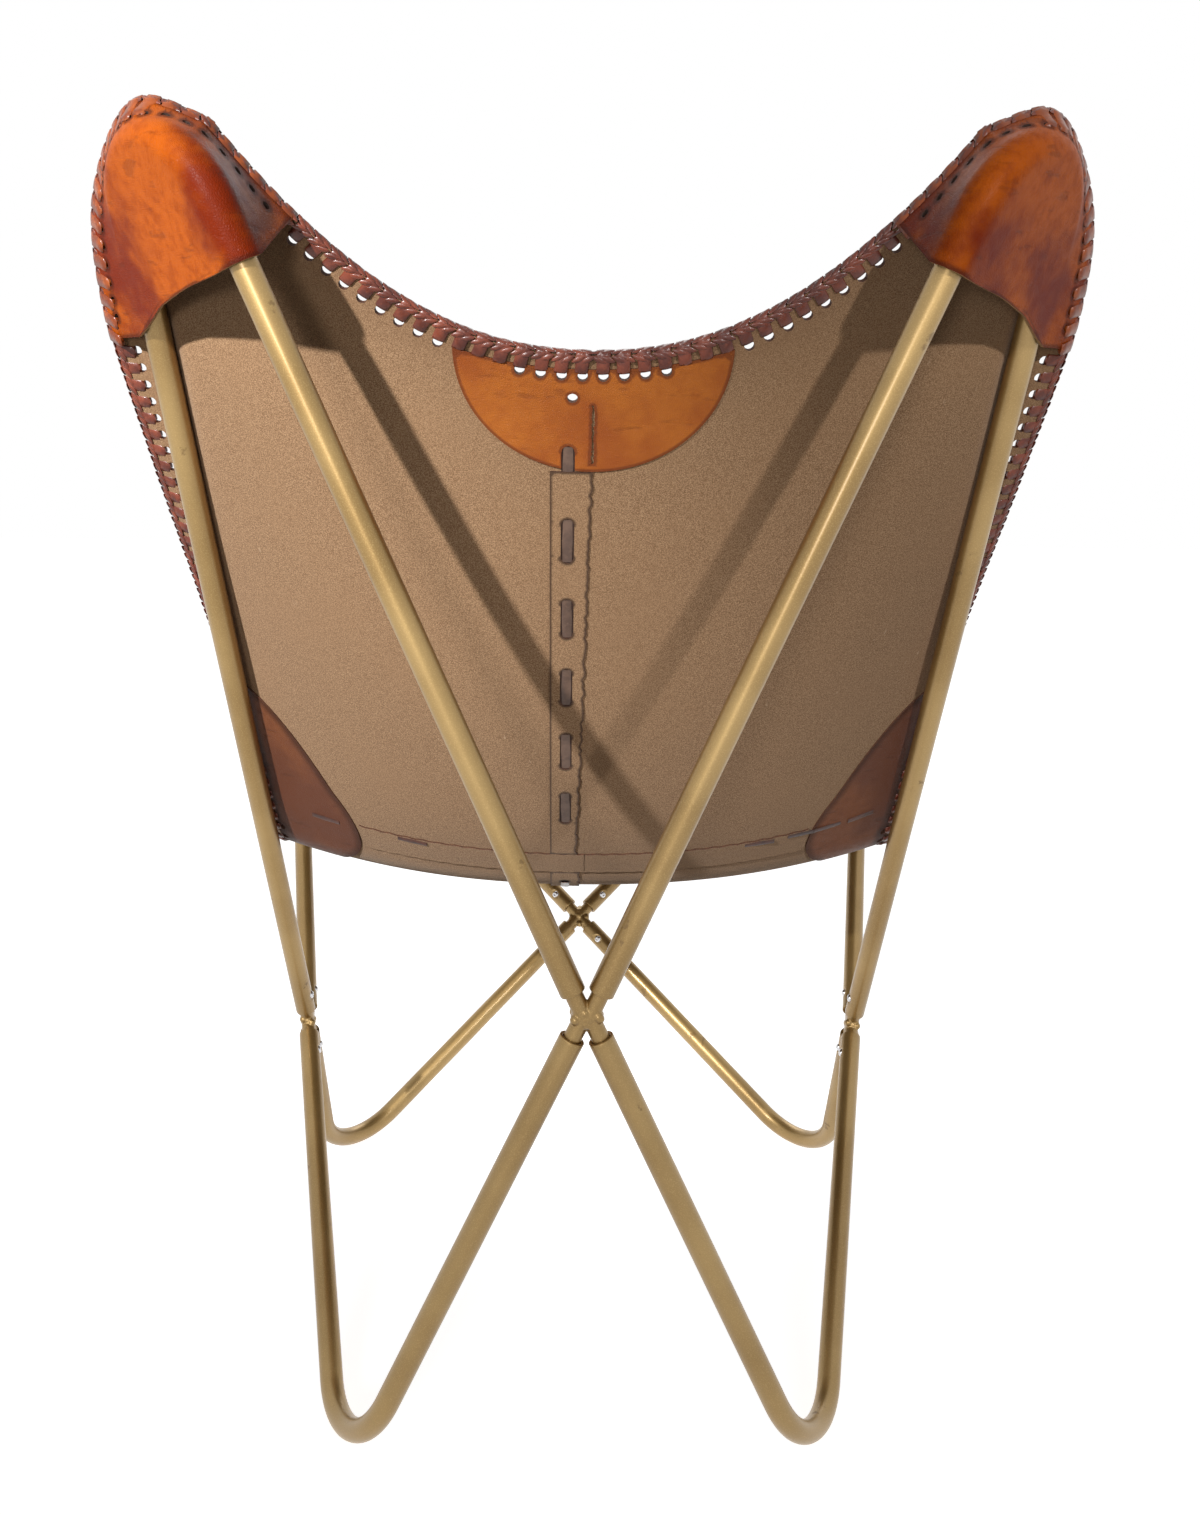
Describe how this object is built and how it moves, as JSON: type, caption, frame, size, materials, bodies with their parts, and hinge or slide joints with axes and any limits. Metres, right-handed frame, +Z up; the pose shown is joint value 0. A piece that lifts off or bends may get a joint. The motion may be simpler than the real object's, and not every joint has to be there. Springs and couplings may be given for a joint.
{
  "type": "butterfly sling chair",
  "caption": "Low lounge chair: a laced leather sling hung by pockets on a knock-down frame of bent metal tubes joined at crosses.",
  "frame": {"origin": "on the floor under the centre of the chair's box", "axes": "+Z up, the sitter faces -Y, +X is to the left seen from behind"},
  "size_m": [0.675, 0.8756, 0.8954],
  "materials": {
    "frame_paint": "satin gold-bronze paint",
    "screw_steel": "bright domed heads",
    "suede": "napped flesh side, dull",
    "grain_leather": "burnished grain side, satin",
    "lace_leather": "glossy lace"
  },
  "bodies": {
    "root": {"cross_back": "frame_paint", "screw_back_1": "screw_steel", "screw_back_2": "screw_steel", "screw_back_3": "screw_steel", "screw_back_4": "screw_steel", "cross_front": "frame_paint", "screw_front_1": "screw_steel", "screw_front_2": "screw_steel", "screw_front_3": "screw_steel", "screw_front_4": "screw_steel", "cross_left": "frame_paint", "screw_left_1": "screw_steel", "screw_left_2": "screw_steel", "screw_left_3": "screw_steel", "screw_left_4": "screw_steel", "cross_right": "frame_paint", "screw_right_1": "screw_steel", "screw_right_2": "screw_steel", "screw_right_3": "screw_steel", "screw_right_4": "screw_steel", "foot_tube_back_left": "frame_paint", "foot_tube_front_left": "frame_paint", "wing_tube_back_left": "frame_paint", "wing_tube_front_left": "frame_paint", "sling_back_left": "suede", "sling_seat_left": "suede", "seam_flap_left": "suede", "pocket_back_left": "grain_leather", "pocket_front_left": "grain_leather", "patch_side_left": "grain_leather", "edge_braid_left": "lace_leather", "foot_tube_back_right": "frame_paint", "foot_tube_front_right": "frame_paint", "wing_tube_back_right": "frame_paint", "wing_tube_front_right": "frame_paint", "sling_back_right": "suede", "sling_seat_right": "suede", "seam_flap_right": "suede", "pocket_back_right": "grain_leather", "pocket_front_right": "grain_leather", "patch_side_right": "grain_leather", "edge_braid_right": "lace_leather", "patch_back_centre": "grain_leather", "seam_strip_back": "suede", "seam_strip_seat": "suede", "edge_braid_back": "lace_leather", "edge_braid_front": "lace_leather"}
  },
  "joints": []
}
